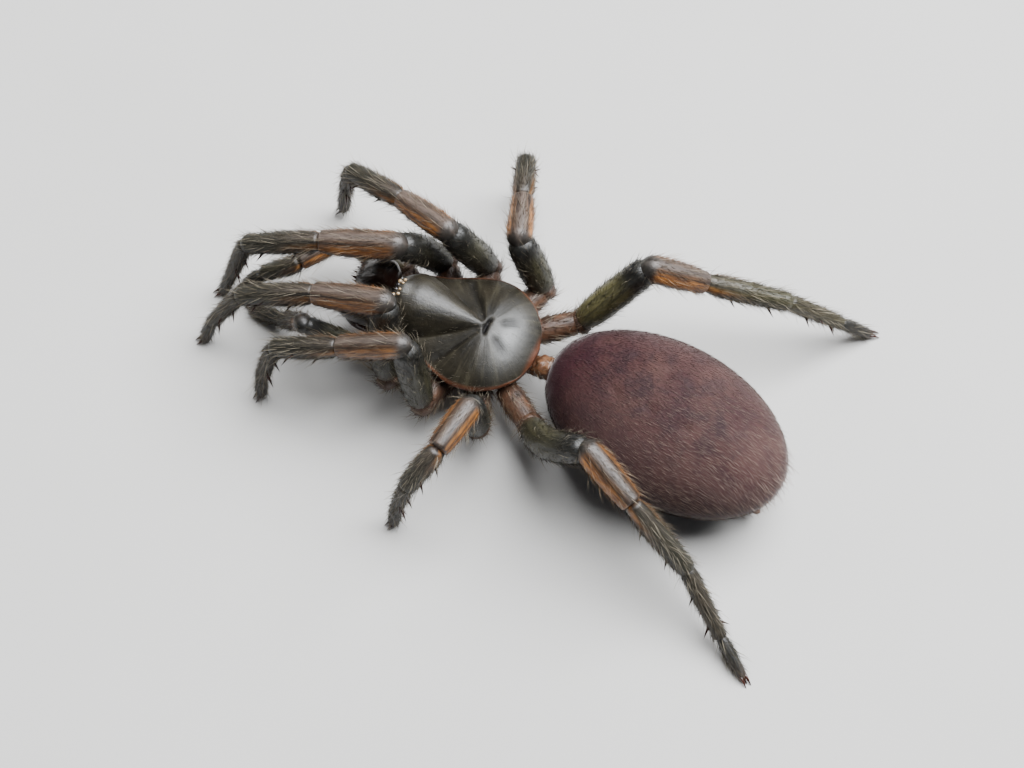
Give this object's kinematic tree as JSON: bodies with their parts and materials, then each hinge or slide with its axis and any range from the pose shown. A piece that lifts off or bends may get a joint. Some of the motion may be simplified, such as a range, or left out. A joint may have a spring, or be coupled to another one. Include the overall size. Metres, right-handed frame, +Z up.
{
  "type": "trapdoor spider",
  "caption": "Still life-size model of a trapdoor spider standing low, with a smooth dark front shell, stout banded legs held close and a large velvety purple-brown abdomen.",
  "frame": {"origin": "on the floor, under the middle of the whole spider's bounding box", "axes": "the spider faces -Y, its left side is +X and up is +Z"},
  "size_m": [0.0228, 0.0362, 0.0084],
  "materials": {
    "carapace": "polished dark olive-grey shell with a soft grey sheen, red-brown at its rim",
    "legs": "glossy brown-black to olive, amber stripes on the knees, fine pale bristles",
    "chelicerae": "glossy near-black brown with bristles",
    "fangs": "polished dark red-brown",
    "underside": "satin amber-brown",
    "pedicel": "satin orange-brown with small bumps",
    "abdomen": "velvety purple-brown with darker mottling and short golden hairs",
    "spinnerets": "soft grey-brown",
    "eyes": "wet gloss, dark in front and amber to pearl behind"
  },
  "bodies": {
    "root": {"abdomen": "abdomen", "carapace": "carapace", "chelicera_left": "chelicerae", "chelicera_right": "chelicerae", "eye_anterior_lateral_left": "eyes", "eye_anterior_lateral_right": "eyes", "eye_anterior_median_left": "eyes", "eye_anterior_median_right": "eyes", "eye_posterior_lateral_left": "eyes", "eye_posterior_lateral_right": "eyes", "eye_posterior_median_left": "eyes", "eye_posterior_median_right": "eyes", "fang_left": "fangs", "fang_right": "fangs", "labium": "underside", "leg_left_1_foot": "legs", "leg_left_1_shin": "legs", "leg_left_1_upper": "legs", "leg_left_2_foot": "legs", "leg_left_2_shin": "legs", "leg_left_2_upper": "legs", "leg_left_3_foot": "legs", "leg_left_3_shin": "legs", "leg_left_3_upper": "legs", "leg_left_4_foot": "legs", "leg_left_4_shin": "legs", "leg_left_4_upper": "legs", "leg_right_1_foot": "legs", "leg_right_1_shin": "legs", "leg_right_1_upper": "legs", "leg_right_2_foot": "legs", "leg_right_2_shin": "legs", "leg_right_2_upper": "legs", "leg_right_3_foot": "legs", "leg_right_3_shin": "legs", "leg_right_3_upper": "legs", "leg_right_4_foot": "legs", "leg_right_4_shin": "legs", "leg_right_4_upper": "legs", "palp_left_lower": "legs", "palp_left_upper": "legs", "palp_right_lower": "legs", "palp_right_upper": "legs", "pedicel": "pedicel", "spinneret_posterior_lateral_left": "spinnerets", "spinneret_posterior_lateral_right": "spinnerets", "spinneret_posterior_median_left": "spinnerets", "spinneret_posterior_median_right": "spinnerets", "sternum": "underside"}
  },
  "joints": []
}
